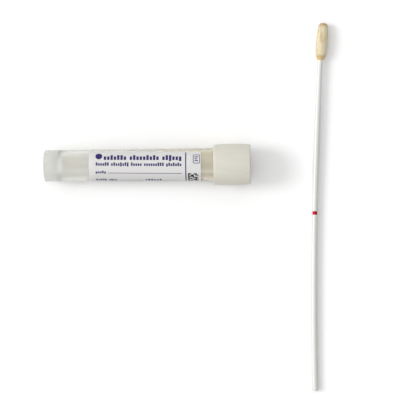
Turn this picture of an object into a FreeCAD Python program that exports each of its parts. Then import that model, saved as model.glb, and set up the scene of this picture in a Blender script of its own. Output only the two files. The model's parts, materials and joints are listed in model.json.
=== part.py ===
"""Specimen swab tube: a screw-cap transport tube with a skirted foot, its label, seal and liquid medium,
and the flocked swab that goes with it, taken out and laid beside it.

Millimetres, +Z up. The tube lies along X with its cap towards +X, and the swab along Y with its tip at +Y.
The tube's own pieces are modelled upright about the Z axis, with the skirt's open end at z = 0, and the
swab's straight along the Z axis, with the end of its tip at z = 0. Both are then laid down.
"""

import FreeCAD, Part
import math
import os

# Tube, with heights from the plane that its skirt stands on
TUBE_LENGTH = 83.4
NECK_LENGTH = 11.0
FOOT_RADIUS = 6.55
SHOULDER_RADIUS = 6.88
SHOULDER_STEP = 0.3
NECK_WALL = 1.05
BARREL_WALL = 1.4
SKIRT_WALL = 1.05
BORE_FOOT_Z = 7.4
CONE_TIP_RADIUS = 0.9
CONE_TIP_Z = 2.8
CONE_WALL = 1.1
FOOT_ROUND = 0.4
MOUTH_ROUND = 0.25

SHOULDER_Z = TUBE_LENGTH - NECK_LENGTH
NECK_RADIUS = SHOULDER_RADIUS - SHOULDER_STEP
BARREL_DRAFT = (SHOULDER_RADIUS - FOOT_RADIUS) / SHOULDER_Z
BORE_MOUTH_RADIUS = NECK_RADIUS - NECK_WALL
BORE_FOOT_RADIUS = FOOT_RADIUS + BARREL_DRAFT * BORE_FOOT_Z - BARREL_WALL
SKIRT_BORE_RADIUS = FOOT_RADIUS - SKIRT_WALL

# Screw thread between the neck and the cap, right-handed and with one start
THREAD_PITCH = 3.0
THREAD_DEPTH = 0.58
THREAD_FOOT_WIDTH = 1.25
THREAD_CREST_WIDTH = 0.6
THREAD_BELOW_MOUTH = 2.3
THREAD_ABOVE_SHOULDER = 2.7
THREAD_AXIAL_PLAY = 0.25
THREAD_RADIAL_PLAY = 0.15
THREAD_RUN_OUT = 40.0
THREAD_BURIED = 0.25
SECTIONS_PER_TURN = 12

THREAD_TURNS = (NECK_LENGTH - THREAD_BELOW_MOUTH - THREAD_ABOVE_SHOULDER) / THREAD_PITCH
THREAD_START_Z = SHOULDER_Z + THREAD_ABOVE_SHOULDER

# Cap, seal and the socket in the cap that grips the swab's shaft
CAP_WALL = 1.04
CAP_BULGE = 0.3
CAP_ROOF = 1.47
CAP_BELOW_SHOULDER = 1.75
CAP_LEAD_IN = 0.15
CAP_LEAD_IN_LENGTH = 0.5
CAP_TOP_ROUND = 0.6
CAP_RIM_ROUND = 0.15
SEAL_THICKNESS = 1.2
SEAL_CLEARANCE = 0.03
SEAL_SIDE_GAP = 0.25
SEAL_CLEAR_OF_SOCKET = 0.7
SOCKET_LENGTH = 8.6
SOCKET_ROOT_RADIUS = 3.5
SOCKET_MOUTH_RADIUS = 2.4
SOCKET_WALL = 0.9
SOCKET_GRIP_RADIUS = 1.1
SOCKET_GRIP_LENGTH = 4.0

CAP_BORE_RADIUS = NECK_RADIUS + THREAD_DEPTH + THREAD_RADIAL_PLAY
CAP_END_RADIUS = CAP_BORE_RADIUS + CAP_WALL
SEAL_BORE_RADIUS = SOCKET_ROOT_RADIUS + SEAL_CLEAR_OF_SOCKET
ROOF_Z = TUBE_LENGTH + SEAL_CLEARANCE + SEAL_THICKNESS
CAP_TOP_Z = ROOF_Z + CAP_ROOF
CAP_RIM_Z = SHOULDER_Z - CAP_BELOW_SHOULDER
CAP_LENGTH = CAP_TOP_Z - CAP_RIM_Z

# Label, with its angles about the tube's axis from the side that the tube lies on, towards +Y
LABEL_LOW_Z = 18.9
LABEL_BELOW_CAP = 5.2
LABEL_THICKNESS = 0.1
LABEL_START_ANGLE = 124.0
LABEL_WRAP_ANGLE = 244.0
LABEL_HIGH_Z = CAP_RIM_Z - LABEL_BELOW_CAP

# Liquid medium, pooled along the low side of the lying tube
LIQUID_DEPTH_AT_MOUTH = 0.2
LIQUID_FILM = 0.05

# Swab, with lengths from the end of its tip
SWAB_LENGTH = 155.0
SHAFT_TIP_RADIUS = 1.12
SHAFT_WAIST = 53.0
SHAFT_WAIST_RADIUS = 1.32
SHAFT_BREAK_RADIUS = 1.18
SHAFT_END_RADIUS = 1.37
BREAK_POINT = 80.0
BREAK_NOTCH = 0.19
BREAK_WIDTH = 1.3
BOW_RADIUS = 1910.0
BOW_STATION = 129.0
SHAFT_SPANS = 5
TIP_LENGTH = 15.2
TIP_RADIUS = 2.46
TIP_WIDEST = 8.2
TIP_NOSE_DRAW = 0.3
TIP_NOSE_FLAT = 0.36
TIP_SHOULDER_DRAW = 0.26
TIP_BASE_TAPER = 1.6
TIP_BASE_LIP = 0.15
TIP_BASE_GAP = 0.08
TIP_LEAN = 2.2
CORE_STEP = 0.25
CORE_START = 2.2
CORE_ROOT = 0.5
BOND_GAP = 0.02

CORE_RADIUS = SHAFT_TIP_RADIUS - CORE_STEP
TIP_NOSE_RADIUS = TIP_RADIUS - TIP_NOSE_DRAW
TIP_NOSE_ROUND = TIP_NOSE_RADIUS - TIP_NOSE_FLAT

# Where the swab lies: clear of the cap's end, with its tip this far beyond the tube's axis
SWAB_BEYOND_CAP = 26.4
TIP_BEYOND_AXIS = 59.5

ORIGIN = FreeCAD.Vector(0, 0, 0)
X_AXIS = FreeCAD.Vector(1, 0, 0)
Y_AXIS = FreeCAD.Vector(0, 1, 0)
Z_AXIS = FreeCAD.Vector(0, 0, 1)
FULL_TURN = 360.0
EDGE_MATCH = 0.01


def point(radius, height):
    """A place in the half-plane that is turned about the Z axis."""
    return FreeCAD.Vector(radius, 0, height)


def line(start, end):
    return Part.LineSegment(point(*start), point(*end)).toShape()


def arc(start, middle, end):
    return Part.Arc(point(*start), point(*middle), point(*end)).toShape()


def lines(*corners):
    """Straight edges that join the corners in order."""
    return [line(start, end) for start, end in zip(corners, corners[1:])]


def turned(edges, angle=FULL_TURN):
    """The solid that a closed outline sweeps as it turns about the Z axis."""
    outline = Part.Face(Part.Wire(Part.__sortEdges__(edges)))
    return outline.revolve(ORIGIN, Z_AXIS, angle)


def corner_arc(centre, radius, start_angle, end_angle):
    """An arc of a circle in the half-plane, with its angles in degrees from the radial direction."""
    places = []
    for angle in (start_angle, (start_angle + end_angle) / 2, end_angle):
        turn = math.radians(angle)
        places.append((centre[0] + radius * math.cos(turn), centre[1] + radius * math.sin(turn)))
    return arc(*places)


def rounded(solid, height, radius, size):
    """The solid with the circular edge at this height and radius rounded."""
    found = []
    for edge in solid.Edges:
        if not isinstance(edge.Curve, Part.Circle):
            continue
        same_height = abs(edge.Curve.Center.z - height) < EDGE_MATCH
        if same_height and abs(edge.Curve.Radius - radius) < EDGE_MATCH:
            found.append(edge)
    if not found:
        raise ValueError(f"no edge of radius {radius} at height {height}")
    return solid.makeFillet(size, found)


def taper(height, low, low_radius, high, high_radius):
    """The radius at a height between two heights, each with its own radius."""
    return low_radius + (high_radius - low_radius) * (height - low) / (high - low)


def tube_radius(height):
    return FOOT_RADIUS + BARREL_DRAFT * height


def thread_ridge(wall_radius, depth, first_z):
    """A helical ridge on a wall at this radius, which stands out by depth, or inwards where depth is
    negative, and sinks into the wall at both of its ends."""
    side = math.copysign(1, depth)
    count = round(THREAD_TURNS * SECTIONS_PER_TURN)
    sections = []
    for step in range(count + 1):
        angle = FULL_TURN * THREAD_TURNS * step / count
        to_end = min(angle, FULL_TURN * THREAD_TURNS - angle)
        height = abs(depth) * min(1, to_end / THREAD_RUN_OUT)
        if step in (0, count):
            height = -THREAD_BURIED / 2
        middle = first_z + THREAD_PITCH * angle / FULL_TURN
        foot = wall_radius - side * THREAD_BURIED
        crest = wall_radius + side * height
        corners = [
            point(foot, middle - THREAD_FOOT_WIDTH / 2),
            point(crest, middle - THREAD_CREST_WIDTH / 2),
            point(crest, middle + THREAD_CREST_WIDTH / 2),
            point(foot, middle + THREAD_FOOT_WIDTH / 2),
        ]
        section = Part.makePolygon(corners + corners[:1])
        section.rotate(ORIGIN, Z_AXIS, angle)
        sections.append(section)
    return Part.makeLoft(sections, True, False)


def bore_outline(inset):
    """The corners of the bore from its mouth to its cone, moved into the bore by inset."""
    return [
        (BORE_MOUTH_RADIUS - inset, TUBE_LENGTH),
        (BORE_FOOT_RADIUS - inset, BORE_FOOT_Z + inset),
        (CONE_TIP_RADIUS - inset, CONE_TIP_Z + inset),
        (0, CONE_TIP_Z + inset),
    ]


def cone_outside():
    """The two corners of the cone's underside: at its nose, and where it meets the skirt."""
    run = BORE_FOOT_RADIUS - CONE_TIP_RADIUS
    rise = BORE_FOOT_Z - CONE_TIP_Z
    slant = math.hypot(run, rise)
    nose_z = CONE_TIP_Z - CONE_WALL
    beside_tip = (CONE_TIP_RADIUS + CONE_WALL * rise / slant, CONE_TIP_Z - CONE_WALL * run / slant)
    nose_radius = beside_tip[0] - (beside_tip[1] - nose_z) * run / rise
    skirt_z = beside_tip[1] + (SKIRT_BORE_RADIUS - beside_tip[0]) * rise / run
    return (nose_radius, nose_z), (SKIRT_BORE_RADIUS, skirt_z)


def make_tube():
    """The moulded tube: a skirted foot round a conical bottom, a tapering barrel and a threaded neck."""
    nose, skirt_root = cone_outside()
    neck_foot_z = SHOULDER_Z + SHOULDER_RADIUS - NECK_RADIUS
    corners = [
        (SKIRT_BORE_RADIUS, 0),
        (FOOT_RADIUS, 0),
        (SHOULDER_RADIUS, SHOULDER_Z),
        (NECK_RADIUS, neck_foot_z),
        (NECK_RADIUS, TUBE_LENGTH),
    ]
    corners += bore_outline(0)
    corners += [(0, nose[1]), nose, skirt_root, (SKIRT_BORE_RADIUS, 0)]
    tube = turned(lines(*corners))
    tube = rounded(tube, 0, FOOT_RADIUS, FOOT_ROUND)
    tube = rounded(tube, TUBE_LENGTH, NECK_RADIUS, MOUTH_ROUND)
    tube = rounded(tube, TUBE_LENGTH, BORE_MOUTH_RADIUS, MOUTH_ROUND)
    return tube.fuse(thread_ridge(NECK_RADIUS, THREAD_DEPTH, THREAD_START_Z))


def make_label():
    """The film label, wrapped round the barrel with a gap left along its back."""
    low = tube_radius(LABEL_LOW_Z)
    high = tube_radius(LABEL_HIGH_Z)
    outline = lines(
        (low, LABEL_LOW_Z),
        (low + LABEL_THICKNESS, LABEL_LOW_Z),
        (high + LABEL_THICKNESS, LABEL_HIGH_Z),
        (high, LABEL_HIGH_Z),
        (low, LABEL_LOW_Z),
    )
    label = turned(outline, LABEL_WRAP_ANGLE)
    label.rotate(ORIGIN, Z_AXIS, LABEL_START_ANGLE)
    return label


def cap_bulge_arc():
    """The cap's side, which swells a little between its rim and its top."""
    middle = (CAP_END_RADIUS + CAP_BULGE, (CAP_RIM_Z + CAP_TOP_Z) / 2)
    return arc((CAP_END_RADIUS, CAP_TOP_Z), middle, (CAP_END_RADIUS, CAP_RIM_Z))


def make_cap():
    """The moulded cap: a threaded skirt, a flat roof and a tapered socket that grips a swab's shaft."""
    socket_z = ROOF_Z - SOCKET_LENGTH
    grip_z = ROOF_Z - SOCKET_GRIP_LENGTH
    inside = lines(
        (CAP_END_RADIUS, CAP_RIM_Z),
        (CAP_BORE_RADIUS + CAP_LEAD_IN, CAP_RIM_Z),
        (CAP_BORE_RADIUS, CAP_RIM_Z + CAP_LEAD_IN_LENGTH),
        (CAP_BORE_RADIUS, ROOF_Z),
        (SOCKET_ROOT_RADIUS, ROOF_Z),
        (SOCKET_MOUTH_RADIUS + SOCKET_WALL, socket_z),
        (SOCKET_MOUTH_RADIUS, socket_z),
        (SOCKET_GRIP_RADIUS, grip_z),
        (SOCKET_GRIP_RADIUS, ROOF_Z),
        (0, ROOF_Z),
        (0, CAP_TOP_Z),
        (CAP_END_RADIUS, CAP_TOP_Z),
    )
    cap = turned(inside + [cap_bulge_arc()])
    cap = rounded(cap, CAP_TOP_Z, CAP_END_RADIUS, CAP_TOP_ROUND)
    cap = rounded(cap, CAP_RIM_Z, CAP_END_RADIUS, CAP_RIM_ROUND)
    below_tube_thread = (THREAD_FOOT_WIDTH + THREAD_CREST_WIDTH) / 2 + THREAD_AXIAL_PLAY
    return cap.fuse(thread_ridge(CAP_BORE_RADIUS, -THREAD_DEPTH, THREAD_START_Z - below_tube_thread))


def make_seal():
    """The soft ring between the tube's mouth and the cap's roof."""
    outer = CAP_BORE_RADIUS - SEAL_SIDE_GAP
    low = TUBE_LENGTH + SEAL_CLEARANCE
    ring = Part.makeCylinder(outer, SEAL_THICKNESS, point(0, low))
    return ring.cut(Part.makeCylinder(SEAL_BORE_RADIUS, SEAL_THICKNESS, point(0, low)))


def lean_angle():
    """How far the lying tube's axis rises towards its cap, in degrees, with the tube on the rounded edge
    of its foot and on its cap's side. The floor's line is tangent to the arcs of both."""
    half_length = CAP_LENGTH / 2
    bulge_round = (half_length**2 + CAP_BULGE**2) / (2 * CAP_BULGE)
    foot_centre = (FOOT_ROUND, FOOT_RADIUS - FOOT_ROUND)
    cap_centre = (CAP_RIM_Z + half_length, CAP_END_RADIUS + CAP_BULGE - bulge_round)
    run = cap_centre[0] - foot_centre[0]
    rise = cap_centre[1] - foot_centre[1]
    towards_cap = math.atan2(rise, run)
    between = math.asin((FOOT_ROUND - bulge_round) / math.hypot(run, rise))
    return math.degrees(towards_cap - between)


def lay_tube(piece):
    """Lay an upright piece of the tube down along X, on the floor at z = 0, with its foot at x = 0."""
    lean = lean_angle()
    turn = math.radians(lean)
    lift = FOOT_ROUND + (FOOT_RADIUS - FOOT_ROUND) * math.cos(turn) - FOOT_ROUND * math.sin(turn)
    laid = piece.copy()
    laid.rotate(ORIGIN, Y_AXIS, 90 - lean)
    laid.translate(Z_AXIS * lift)
    return laid


def make_liquid():
    """The pool of medium in the lying tube, level along its top and just clear of the bore's wall."""
    dam_z = TUBE_LENGTH - LIQUID_FILM
    corners = bore_outline(LIQUID_FILM)
    corners[0] = (corners[0][0], dam_z)
    filling = lay_tube(turned(lines(*corners, (0, dam_z), corners[0])))
    lip = lay_tube(Part.Vertex(point(BORE_MOUTH_RADIUS, TUBE_LENGTH))).Point
    level = lip.z + LIQUID_DEPTH_AT_MOUTH
    reach = 2 * TUBE_LENGTH
    below = Part.makeBox(reach, reach, reach, FreeCAD.Vector(-reach / 2, -reach / 2, level - reach))
    return filling.common(below)


def shaft_radius(station):
    """The shaft's radius: slender at the tip, widest at its waist, drawn in at the break point."""
    if station < SHAFT_WAIST:
        return eased(station, TIP_LENGTH, SHAFT_TIP_RADIUS, SHAFT_WAIST, SHAFT_WAIST_RADIUS)
    if station < BREAK_POINT:
        return eased(station, SHAFT_WAIST, SHAFT_WAIST_RADIUS, BREAK_POINT, SHAFT_BREAK_RADIUS)
    return taper(station, BREAK_POINT, SHAFT_BREAK_RADIUS, SWAB_LENGTH, SHAFT_END_RADIUS)


def eased(station, low, low_radius, high, high_radius):
    """The radius between two stations, level with the axis at both of them."""
    share = (1 - math.cos(math.pi * (station - low) / (high - low))) / 2
    return low_radius + (high_radius - low_radius) * share


def follow_bow(piece, station):
    """Move a piece made round the straight shaft to where the bowed shaft runs, from one station on it."""
    bend = (station - BOW_STATION) / BOW_RADIUS
    aside = BOW_RADIUS * (1 - math.cos(bend))
    along = BOW_STATION + BOW_RADIUS * math.sin(bend)
    piece.rotate(point(0, station), Y_AXIS, math.degrees(bend))
    piece.translate(point(aside, along - station))
    return piece


def follow_tip(piece):
    """Move a piece of the straight tip to where the tip lies, a little askew on the end of the bowed shaft."""
    piece.rotate(point(0, TIP_LENGTH), Y_AXIS, -TIP_LEAN)
    return follow_bow(piece, TIP_LENGTH)


def bowed_loft(low, high):
    """A smooth length of the shaft through evenly spaced round sections."""
    sections = []
    for step in range(SHAFT_SPANS + 1):
        station = low + (high - low) * step / SHAFT_SPANS
        ring = Part.makeCircle(shaft_radius(station), point(0, station))
        sections.append(follow_bow(Part.Wire(ring), station))
    return Part.makeLoft(sections, True, False)


def make_swab_shaft():
    """The moulded shaft: a core inside the tip, three smooth lengths and the notch where it snaps."""
    core = Part.makeCylinder(CORE_RADIUS, TIP_LENGTH + CORE_ROOT - CORE_START, point(0, CORE_START))
    shaft = follow_tip(core)
    for low, high in ((TIP_LENGTH, SHAFT_WAIST), (SHAFT_WAIST, BREAK_POINT), (BREAK_POINT, SWAB_LENGTH)):
        shaft = shaft.fuse(bowed_loft(low, high))
    rim = SHAFT_BREAK_RADIUS * 2
    neck_radius = SHAFT_BREAK_RADIUS - BREAK_NOTCH
    neck_low = BREAK_POINT - BREAK_WIDTH / 2
    neck_high = BREAK_POINT + BREAK_WIDTH / 2
    flare = rim - neck_radius
    notch = turned(
        lines(
            (neck_radius, neck_low),
            (neck_radius, neck_high),
            (rim, neck_high + flare),
            (rim, neck_low - flare),
            (neck_radius, neck_low),
        )
    )
    return shaft.cut(follow_bow(notch, BREAK_POINT))


def make_swab_tip():
    """The flocked tip: a soft barrel with a rounded nose, bonded over the shaft's core."""
    bore = CORE_RADIUS + BOND_GAP
    bore_end = CORE_START - BOND_GAP
    nose = corner_arc((TIP_NOSE_FLAT, TIP_NOSE_ROUND), TIP_NOSE_ROUND, -90, 0)
    shoulder = (TIP_RADIUS - TIP_SHOULDER_DRAW, TIP_LENGTH - TIP_BASE_TAPER)
    base_end = TIP_LENGTH - TIP_BASE_GAP
    barrel = arc((TIP_NOSE_RADIUS, TIP_NOSE_ROUND), (TIP_RADIUS, TIP_WIDEST), shoulder)
    base = lines(
        shoulder,
        (SHAFT_TIP_RADIUS + TIP_BASE_LIP, base_end),
        (bore, base_end),
        (bore, bore_end),
        (0, bore_end),
        (0, 0),
        (TIP_NOSE_FLAT, 0),
    )
    return follow_tip(turned([nose, barrel] + base))


def lay_swab(piece):
    """Lay the swab down along Y, on the floor, on its tip and the end of its shaft."""
    span = SWAB_LENGTH - TIP_WIDEST
    fall = math.degrees(math.asin((TIP_RADIUS - SHAFT_END_RADIUS) / span))
    laid = piece.copy()
    laid.rotate(point(0, TIP_WIDEST), X_AXIS, 90 + fall)
    centre = FreeCAD.Vector(0, 0, TIP_WIDEST)
    laid.translate(FreeCAD.Vector(0, 0, TIP_RADIUS) - centre)
    beside_cap = CAP_TOP_Z + SWAB_BEYOND_CAP
    laid.translate(FreeCAD.Vector(beside_cap, TIP_BEYOND_AXIS - TIP_WIDEST, 0))
    return laid


def main():
    os.makedirs("parts", exist_ok=True)
    pieces = {
        "tube": lay_tube(make_tube()),
        "label": lay_tube(make_label()),
        "liquid_medium": make_liquid(),
        "cap": lay_tube(make_cap()),
        "seal_ring": lay_tube(make_seal()),
        "swab_shaft": lay_swab(make_swab_shaft()),
        "swab_tip": lay_swab(make_swab_tip()),
    }
    box = Part.makeCompound(list(pieces.values())).optimalBoundingBox(False, False)
    centred = FreeCAD.Vector(-box.Center.x, -box.Center.y, -box.ZMin)
    for name, piece in pieces.items():
        piece.translate(centred)
        piece.exportStep(f"parts/{name}.step")
        print(name, "valid" if piece.isValid() else "INVALID", len(piece.Solids), round(piece.Volume, 2))
    print("origin moved by", centred, "lean", lean_angle())


if __name__ == "__main__":
    main()
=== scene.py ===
"""Looks for a specimen swab tube: a frosted screw-cap tube with its label and liquid medium, and the flocked
swab that goes with it, lying on a white table.

Pieces are shaped in millimetres, the tube's upright about the Z axis and the swab's straight along it, with
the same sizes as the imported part. Each is then laid where the part lies, in metres.
"""

import json
import math
import random

import bmesh
import bpy
from bpy.props import FloatProperty, FloatVectorProperty, IntProperty, PointerProperty
from mathutils import Matrix, Vector, noise


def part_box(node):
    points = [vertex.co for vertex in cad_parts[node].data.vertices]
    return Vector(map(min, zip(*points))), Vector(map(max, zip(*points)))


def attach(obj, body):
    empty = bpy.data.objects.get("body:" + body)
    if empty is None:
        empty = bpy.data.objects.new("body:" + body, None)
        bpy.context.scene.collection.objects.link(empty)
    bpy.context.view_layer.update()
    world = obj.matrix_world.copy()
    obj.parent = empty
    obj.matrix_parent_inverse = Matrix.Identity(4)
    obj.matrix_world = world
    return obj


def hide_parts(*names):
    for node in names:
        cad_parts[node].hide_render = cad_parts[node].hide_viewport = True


bl_info = {
    "name": "Specimen Swab Tube",
    "version": (1, 0, 0),
    "blender": (4, 5, 0),
    "location": "3D View > Sidebar > Swab Tube",
    "description": "Builds the looks of a specimen tube and its flocked swab round the packed part",
    "category": "Object",
}

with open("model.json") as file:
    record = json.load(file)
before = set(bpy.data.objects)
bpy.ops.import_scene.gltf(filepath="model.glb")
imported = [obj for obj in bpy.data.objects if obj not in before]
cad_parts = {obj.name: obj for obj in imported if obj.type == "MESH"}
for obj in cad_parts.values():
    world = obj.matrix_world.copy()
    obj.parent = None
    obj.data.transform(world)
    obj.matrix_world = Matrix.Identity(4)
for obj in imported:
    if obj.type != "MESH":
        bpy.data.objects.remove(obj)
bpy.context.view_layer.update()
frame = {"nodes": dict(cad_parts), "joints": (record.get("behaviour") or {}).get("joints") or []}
MM = 0.001

# Tube, with heights from the plane that its skirt stands on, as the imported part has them
TUBE_LENGTH = 83.4
NECK_LENGTH = 11.0
FOOT_RADIUS = 6.55
SHOULDER_RADIUS = 6.88
SHOULDER_STEP = 0.3
NECK_WALL = 1.05
BARREL_WALL = 1.4
SKIRT_WALL = 1.05
BORE_FOOT_Z = 7.4
CONE_TIP_RADIUS = 0.9
CONE_TIP_Z = 2.8
CONE_WALL = 1.1
FOOT_ROUND = 0.4
MOUTH_ROUND = 0.25
SOFT_ROUND = 0.15
SHOULDER_Z = TUBE_LENGTH - NECK_LENGTH
NECK_RADIUS = SHOULDER_RADIUS - SHOULDER_STEP
BARREL_DRAFT = (SHOULDER_RADIUS - FOOT_RADIUS) / SHOULDER_Z
BORE_MOUTH_RADIUS = NECK_RADIUS - NECK_WALL
BORE_FOOT_RADIUS = FOOT_RADIUS + BARREL_DRAFT * BORE_FOOT_Z - BARREL_WALL
SKIRT_BORE_RADIUS = FOOT_RADIUS - SKIRT_WALL

# Screw thread between the neck and the cap
THREAD_PITCH = 3.0
THREAD_DEPTH = 0.58
THREAD_FOOT_WIDTH = 1.25
THREAD_CREST_WIDTH = 0.6
THREAD_BELOW_MOUTH = 2.3
THREAD_ABOVE_SHOULDER = 2.7
THREAD_AXIAL_PLAY = 0.25
THREAD_RADIAL_PLAY = 0.15
THREAD_RUN_OUT = 40 / 360
THREAD_BURIED = 0.25
THREAD_STEPS_A_TURN = 72
THREAD_TURNS = (NECK_LENGTH - THREAD_BELOW_MOUTH - THREAD_ABOVE_SHOULDER) / THREAD_PITCH
THREAD_START_Z = SHOULDER_Z + THREAD_ABOVE_SHOULDER

# Cap and the socket in it
CAP_WALL = 1.04
CAP_BULGE = 0.3
CAP_ROOF = 1.47
CAP_BELOW_SHOULDER = 1.75
CAP_LEAD_IN = 0.15
CAP_LEAD_IN_LENGTH = 0.5
CAP_TOP_ROUND = 0.6
CAP_RIM_ROUND = 0.15
CAP_RIM_BAND = 1.3
CAP_TOP_BAND = 1.1
CAP_SIDE_SPANS = 6
SEAL_THICKNESS = 1.2
SEAL_CLEARANCE = 0.03
SOCKET_LENGTH = 8.6
SOCKET_ROOT_RADIUS = 3.5
SOCKET_MOUTH_RADIUS = 2.4
SOCKET_WALL = 0.9
SOCKET_GRIP_RADIUS = 1.1
SOCKET_GRIP_LENGTH = 4.0
CAP_BORE_RADIUS = NECK_RADIUS + THREAD_DEPTH + THREAD_RADIAL_PLAY
CAP_END_RADIUS = CAP_BORE_RADIUS + CAP_WALL
ROOF_Z = TUBE_LENGTH + SEAL_CLEARANCE + SEAL_THICKNESS
CAP_TOP_Z = ROOF_Z + CAP_ROOF
CAP_RIM_Z = SHOULDER_Z - CAP_BELOW_SHOULDER

# Grip ribs: how many of the cap's facets a rib and its groove take, how many of those are the groove, and how
# wide the groove's slope is
RIB_FACETS = 4
GROOVE_FACETS = 2
GROOVE_SLOPE = 0.1

# Label, with angles about the tube's axis from the side that it lies on, towards +Y, and its skews in degrees
# for each millimetre along the tube
LABEL_LOW_Z = 18.9
LABEL_HIGH_Z = 65.45
LABEL_THICKNESS = 0.1
LABEL_START = 124.0
LABEL_WRAP = 244.0
LABEL_EDGE_SKEW = 0.26
LABEL_PRINT_SKEW = 0.107
LABEL_SPANS = 12
LABEL_FACETS = 122
GLUE_LINE = 0.01
INK_GAP = 0.002
INK_FACET = 3
PRINT_SEED = 6

# Plain blocks of print: the share of its step that a block fills, the steps between words, and how far a block
# reaches up and down from its row's middle, in shares of the row's height, with the chance of the first reach
BLOCK_FILL, WORD_GAP = 0.72, 0.8
BLOCK_UP, BLOCK_UP_SHORT, BLOCK_UP_CHANCE = 0.5, 0.22, 0.4
BLOCK_DOWN, BLOCK_DOWN_LONG, BLOCK_DOWN_CHANCE = 0.5, 0.68, 0.9

# Liquid medium, and for each step of its meniscus the width and the share of the climb
LIQUID_DEPTH_AT_MOUTH = 0.2
LIQUID_FILM = 0.05
LIQUID_FACETS = 96
MENISCUS_STEPS = ((0.1, 0.6), (0.15, 0.3), (0.2, 0.1))

# Swab, with lengths from the end of its tip
SWAB_LENGTH = 155.0
SHAFT_TIP_RADIUS = 1.12
SHAFT_WAIST = 53.0
SHAFT_WAIST_RADIUS = 1.32
SHAFT_BREAK_RADIUS = 1.18
SHAFT_END_RADIUS = 1.37
SHAFT_END_ROUND = 0.12
SHAFT_SPANS = 30
SHAFT_FACETS = 40
BREAK_POINT = 80.0
BREAK_NOTCH = 0.19
BREAK_WIDTH = 1.3
MARK_THICKNESS = 0.015
MARK_CLIMB = 0.12
MARK_BURIED = 0.1
BOW_RADIUS = 1910.0
BOW_STATION = 129.0
TIP_LENGTH = 15.2
TIP_RADIUS = 2.46
TIP_WIDEST = 8.2
TIP_NOSE_RADIUS = 2.0
TIP_NOSE_ROUND = 1.7
TIP_SHOULDER_RADIUS = 2.14
TIP_BASE_RADIUS = 1.4
TIP_BASE_TAPER = 1.6
TIP_BASE_GAP = 0.08
TIP_LEAN = 2.2
TIP_NOSE_SPANS = 10
TIP_SIDE_SPANS = 26
TIP_FACETS = 72
CORE_RADIUS = 0.87
CORE_START = 2.2
BOND_GAP = 0.02

# Flock: how deep its skin lies under the tip's outside, the lumps in it, and its fibres
PILE = 0.22
PILE_END = 0.5
PILE_LUMP, PILE_LUMPS_A_MM = 0.06, 0.9
FIBRE_FOOT_RADIUS, FIBRE_POINT_RADIUS = 0.06, 0.02
FIBRE_LEAN = 0.45
FIBRE_SHORTEST = 0.7
FIBRE_SUNK = 0.1
FIBRES_A_SKIN = 100
FIBRE_SEED = 15

# Glue collar at the tip's base
GLUE_INSIDE = 0.9
GLUE_CLIMB = 0.45
GLUE_FILM = 0.03
GLUE_FACETS = 48
GLUE_LUMP, GLUE_LUMPS_A_MM = 0.07, 2.2

# Swab's place beside the tube
SWAB_BEYOND_CAP = 26.4
TIP_BEYOND_AXIS = 59.5

# Stage, in metres, and its camera, with the lens in millimetres
TABLE_HALF = 3.0
BACKGROUND = 1.055
CARD_SOFT_EDGE = math.radians(2)
CAMERA_X, CAMERA_Y = 0.00522, 0.0033
CAMERA_TURN = math.radians(-0.42)
LENS, SENSOR_WIDTH = 163.7, 36.0
CAMERA_CLIP = (0.01, 20.0)

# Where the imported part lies
HINGE = next(joint for joint in frame["joints"] if joint["name"] == "cap_turn")
TUBE_AXIS = Vector(HINGE["axis"])
TUBE_FOOT = Vector(HINGE["pos_m"]) - TUBE_AXIS * CAP_RIM_Z * MM
UP = Vector((0, 0, 1))
TUBE_LAID = (
    Matrix.Translation(TUBE_FOOT)
    @ UP.rotation_difference(TUBE_AXIS).to_matrix().to_4x4()
    @ Matrix.Scale(MM, 4)
)
SWAB_FALL = math.asin((TIP_RADIUS - SHAFT_END_RADIUS) / (SWAB_LENGTH - TIP_WIDEST))
SWAB_PLACE = Vector((
    TUBE_FOOT.x + (CAP_TOP_Z + SWAB_BEYOND_CAP) * MM,
    TUBE_FOOT.y + (TIP_BEYOND_AXIS - TIP_WIDEST) * MM,
    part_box("swab_tip")[0].z + TIP_RADIUS * MM,
))
SWAB_LAID = (
    Matrix.Translation(SWAB_PLACE)
    @ Matrix.Rotation(math.radians(90) + SWAB_FALL, 4, "X")
    @ Matrix.Scale(MM, 4)
    @ Matrix.Translation((0, 0, -TIP_WIDEST))
)

FULL_TURN = math.tau
FILM_DEGREE = math.radians((FOOT_RADIUS + SHOULDER_RADIUS) / 2)
MERGED_WITHIN = 1e-4
RING_WITHIN = 0.005
SHARP = math.radians(32)


def linear(code):
    """The scene-linear colour of an sRGB hex code."""
    values = [int(code[i:i + 2], 16) / 255 for i in (1, 3, 5)]
    return [v / 12.92 if v <= 0.04045 else ((v + 0.055) / 1.055) ** 2.4 for v in values]


# ---- sizes and colours that a user would change ----

# What properties of one kind have in common
COLOUR = {"subtype": "COLOR", "size": 3, "min": 0, "max": 1}
LENGTH = {"unit": "LENGTH", "subtype": "DISTANCE"}
SHARE = {"min": 0, "max": 2}
WIDTH = {"subtype": "ANGLE", "min": 0, "max": math.pi}
HEIGHT = {"subtype": "ANGLE", "min": 0, "max": math.pi / 2}
BEARING = {"subtype": "ANGLE", "min": 0, "max": math.tau}


class TubeLook(bpy.types.PropertyGroup):
    plastic: FloatVectorProperty(
        name="Plastic", description="Body colour of the frosted plastic", default=linear("#FDFDF9"), **COLOUR)
    flow: FloatVectorProperty(
        name="Flow marks", description="Colour of the faint streaks that run along the barrel",
        default=linear("#FAFAF5"), **COLOUR)
    skirt: FloatVectorProperty(
        name="Skirt", description="Tint of the skirt and the cone in it", default=linear("#F1F1ED"), **COLOUR)
    mouth: FloatVectorProperty(
        name="Mouth", description="Tint of the thicker plastic towards the mouth", default=linear("#F8F2E0"),
        **COLOUR)
    facets: IntProperty(name="Facets", description="Flats round the barrel", default=256, min=32, max=512)


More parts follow.
